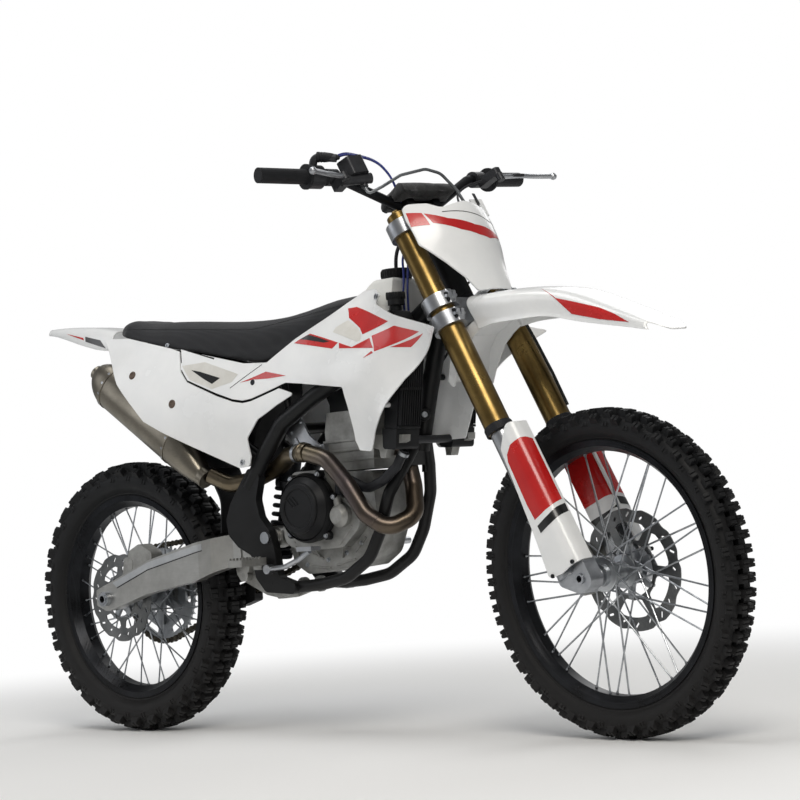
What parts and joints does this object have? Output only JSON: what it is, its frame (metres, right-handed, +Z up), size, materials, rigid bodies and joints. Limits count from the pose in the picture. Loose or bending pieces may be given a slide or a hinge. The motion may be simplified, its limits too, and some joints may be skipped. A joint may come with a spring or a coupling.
{
  "type": "motocross bike",
  "caption": "Off-road competition motorcycle with long-travel fork, knobbly tyres, single-cylinder engine, chain drive and plastic bodywork.",
  "frame": {"origin": "the rider's place on the top of the seat, in the middle plane", "axes": "+X forward, +Y to the rider's left, +Z up; the wheels stand on a plane 0.98 m below the origin"},
  "size_m": [2.1648, 0.8178, 1.2972],
  "materials": {
    "bar_silver": "satin anodised tapered handlebar",
    "black_plastic": "black moulded plastic",
    "bolt_steel": "zinc plated steel",
    "caliper_grey": "cast aluminium caliper",
    "case_grey": "sand-cast grey engine castings",
    "chain_steel": "oiled roller chain",
    "clamp_silver": "satin forged aluminium clamps",
    "cover_black": "black magnesium covers",
    "disc_steel": "ground stainless brake disc",
    "fork_gold": "bronze-gold anodised outer tubes",
    "fork_steel": "chromed sliding tube with cast lug",
    "frame_black": "satin black powder-coated frame",
    "grip_rubber": "soft black grip rubber",
    "header_titanium": "heat-tinted exhaust pipe",
    "hose_black": "black braided hose in a clear sleeve",
    "hose_rubber": "black moulded coolant hose",
    "hub_silver": "machined and shot-blasted aluminium",
    "lever_silver": "polished levers on cast perches",
    "pad_black": "black foam pad in a woven sleeve",
    "radiator_silver": "brazed aluminium radiators",
    "rim_black": "black anodised rim",
    "seat_black": "black gripper seat cover",
    "shock_black": "dark coil over shock",
    "silencer_grey": "satin grey silencer sleeve",
    "spoke_steel": "bright zinc plated spokes",
    "sprocket_silver": "hard-anodised aluminium sprocket",
    "swingarm_silver": "brushed aluminium swingarm",
    "tank_white": "white moulded fuel tank",
    "tyre": "matt black moulded rubber with block tread",
    "white_plastic": "gloss white moulded plastic"
  },
  "bodies": {
    "chassis": {"main_frame": "frame_black", "subframe": "frame_black", "swingarm": "swingarm_silver", "swingarm_pin": "bolt_steel", "rear_axle": "bolt_steel", "linkage": "hub_silver", "shock": "shock_black", "chain": "chain_steel", "front_sprocket": "chain_steel", "crankcase": "case_grey", "clutch_cover": "cover_black", "ignition_cover": "case_grey", "cylinder": "case_grey", "head_cover": "cover_black", "water_pump": "case_grey", "radiators": "radiator_silver", "exhaust_header": "header_titanium", "silencer": "silencer_grey", "fuel_tank": "tank_white", "tank_cap": "black_plastic", "seat": "seat_black", "shrouds": "white_plastic", "side_panels": "white_plastic", "airbox": "black_plastic", "rear_fender": "white_plastic", "footpegs": "bolt_steel", "brake_pedal": "hub_silver", "shift_lever": "hub_silver", "rear_caliper": "caliper_grey", "chain_guide": "black_plastic", "coolant_hoses": "hose_rubber", "engine_mount": "hub_silver"},
    "fork": {"triple_clamps": "clamp_silver", "fork_tubes": "fork_gold", "fork_legs": "fork_steel", "fork_guards": "white_plastic", "front_axle": "bolt_steel", "front_caliper": "caliper_grey", "handlebar": "bar_silver", "bar_pad": "pad_black", "grips": "grip_rubber", "left_controls": "lever_silver", "right_controls": "lever_silver", "number_plate": "white_plastic", "front_fender": "white_plastic", "brake_hose": "hose_black"},
    "front_wheel": {"front_tyre": "tyre", "front_rim": "rim_black", "front_spokes": "spoke_steel", "front_hub": "hub_silver", "front_disc": "disc_steel"},
    "rear_wheel": {"rear_tyre": "tyre", "rear_rim": "rim_black", "rear_spokes": "spoke_steel", "rear_hub": "hub_silver", "rear_disc": "disc_steel", "rear_sprocket": "sprocket_silver"}
  },
  "joints": [
    {"name": "steering", "type": "hinge", "parent": "chassis", "child": "fork", "pos_m": [0.89167, 0, -0.65809], "axis": [-0.4462, 0, 0.8949], "range_deg": [-34.5, 45.5]},
    {"name": "front_wheel_spin", "type": "hinge", "parent": "fork", "child": "front_wheel", "pos_m": [0.93978, -0.00513, -0.63411], "axis": [0.085, 0.9955, 0.0424], "continuous": true},
    {"name": "rear_wheel_spin", "type": "hinge", "parent": "chassis", "child": "rear_wheel", "pos_m": [-0.54, 0, -0.642], "axis": [0, 1, 0], "continuous": true}
  ]
}
